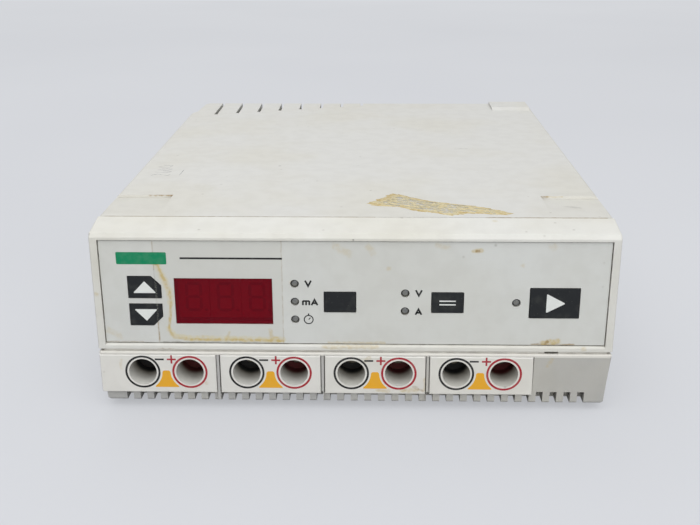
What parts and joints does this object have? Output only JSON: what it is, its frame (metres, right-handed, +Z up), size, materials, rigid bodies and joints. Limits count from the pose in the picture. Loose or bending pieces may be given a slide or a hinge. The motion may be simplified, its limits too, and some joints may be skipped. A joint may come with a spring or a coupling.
{
  "type": "electrophoresis power supply",
  "caption": "Low bench power supply in a plastic housing: keypad and red display in front, paired recessed output sockets below, mains inlet, fuse drawer and switch behind.",
  "frame": {"origin": "middle of the housing's footprint, on the surface that the rubber feet stand on", "axes": "+X to the right along the front, +Y to the rear, +Z up"},
  "size_m": [0.2044, 0.26, 0.0786],
  "materials": {
    "cover_plastic": "fine moulded texture, warm off-white",
    "base_plastic": "fine moulded texture, warm off-white, darker in the shade",
    "bezel_plastic": "fine moulded texture, warm off-white",
    "overlay_film": "satin grey printed film, stained",
    "key_plastic": "satin near-black",
    "window_red": "clear dark red, glossy",
    "digit_plastic": "dark grey module",
    "lamp_lens": "grey diffusing lens",
    "circuit_board": "green solder mask",
    "component_black": "moulded component bodies",
    "ribbon_grey": "flat grey ribbon cable",
    "socket_plastic": "moulded off-white blocks",
    "contact_metal": "nickel-plated brass",
    "painted_steel": "light grey powder coat",
    "core_steel": "varnished laminations",
    "winding_tape": "yellow insulating tape over copper wire",
    "zinc_steel": "zinc plated",
    "sink_aluminium": "extruded, plain",
    "capacitor_sleeve": "shrink sleeve, dark blue",
    "inlet_plastic": "black moulded",
    "fuse_glass": "glass tube with metal end caps",
    "rocker_plastic": "black rocker",
    "foot_rubber": "soft black rubber",
    "wire_sleeve": "brown insulated wire"
  },
  "bodies": {
    "housing": {"base_shell": "base_plastic", "top_cover": "cover_plastic", "front_bezel": "bezel_plastic", "rear_panel": "painted_steel", "panel_overlay": "overlay_film", "display_window": "window_red", "key_switches": "component_black", "display_board": "circuit_board", "ribbon_cable": "ribbon_grey", "output_board": "circuit_board", "main_board": "circuit_board", "board_screws": "zinc_steel", "case_screws": "zinc_steel", "heat_sink": "sink_aluminium", "power_transistors": "component_black", "rectifier_bridge": "component_black", "filter_capacitor_1": "capacitor_sleeve", "filter_capacitor_2": "capacitor_sleeve", "transformer_core": "core_steel", "transformer_winding": "winding_tape", "transformer_strap": "zinc_steel", "mains_inlet": "inlet_plastic", "inlet_pins": "contact_metal", "switch_frame": "inlet_plastic", "mains_wires": "wire_sleeve", "digit_1": "digit_plastic", "digit_2": "digit_plastic", "digit_3": "digit_plastic", "volts_lamp": "lamp_lens", "milliamps_lamp": "lamp_lens", "timer_lamp": "lamp_lens", "constant_volts_lamp": "lamp_lens", "constant_amps_lamp": "lamp_lens", "run_lamp": "lamp_lens", "jack_block_1": "socket_plastic", "jack_block_2": "socket_plastic", "jack_block_3": "socket_plastic", "jack_block_4": "socket_plastic", "minus_contact_1": "contact_metal", "minus_contact_2": "contact_metal", "minus_contact_3": "contact_metal", "minus_contact_4": "contact_metal", "plus_contact_1": "contact_metal", "plus_contact_2": "contact_metal", "plus_contact_3": "contact_metal", "plus_contact_4": "contact_metal", "rubber_foot_1": "foot_rubber", "rubber_foot_2": "foot_rubber", "rubber_foot_3": "foot_rubber", "rubber_foot_4": "foot_rubber"},
    "up_key": {"up_key": "key_plastic"},
    "down_key": {"down_key": "key_plastic"},
    "mode_key": {"mode_key": "key_plastic"},
    "hold_key": {"hold_key": "key_plastic"},
    "run_key": {"run_key": "key_plastic"},
    "fuse_drawer": {"fuse_drawer": "inlet_plastic", "mains_fuse": "fuse_glass"},
    "power_rocker": {"power_rocker": "rocker_plastic"}
  },
  "joints": [
    {"name": "up_key_press", "type": "slide", "parent": "housing", "child": "up_key", "axis": [0, 1, 0], "range_m": [0, 0.0005], "stiffness_N_per_m": 900, "springref_m": -0.0004},
    {"name": "down_key_press", "type": "slide", "parent": "housing", "child": "down_key", "axis": [0, 1, 0], "range_m": [0, 0.0005], "stiffness_N_per_m": 900, "springref_m": -0.0004},
    {"name": "mode_key_press", "type": "slide", "parent": "housing", "child": "mode_key", "axis": [0, 1, 0], "range_m": [0, 0.0005], "stiffness_N_per_m": 900, "springref_m": -0.0004},
    {"name": "hold_key_press", "type": "slide", "parent": "housing", "child": "hold_key", "axis": [0, 1, 0], "range_m": [0, 0.0005], "stiffness_N_per_m": 900, "springref_m": -0.0004},
    {"name": "run_key_press", "type": "slide", "parent": "housing", "child": "run_key", "axis": [0, 1, 0], "range_m": [0, 0.0005], "stiffness_N_per_m": 900, "springref_m": -0.0004},
    {"name": "fuse_drawer_slide", "type": "slide", "parent": "housing", "child": "fuse_drawer", "axis": [0, 1, 0], "range_m": [0, 0.014]},
    {"name": "power_rocker_tilt", "type": "hinge", "parent": "housing", "child": "power_rocker", "pos_m": [0.0145, 0.1232, 0.046], "axis": [1, 0, 0], "range_deg": [0, 20]}
  ]
}
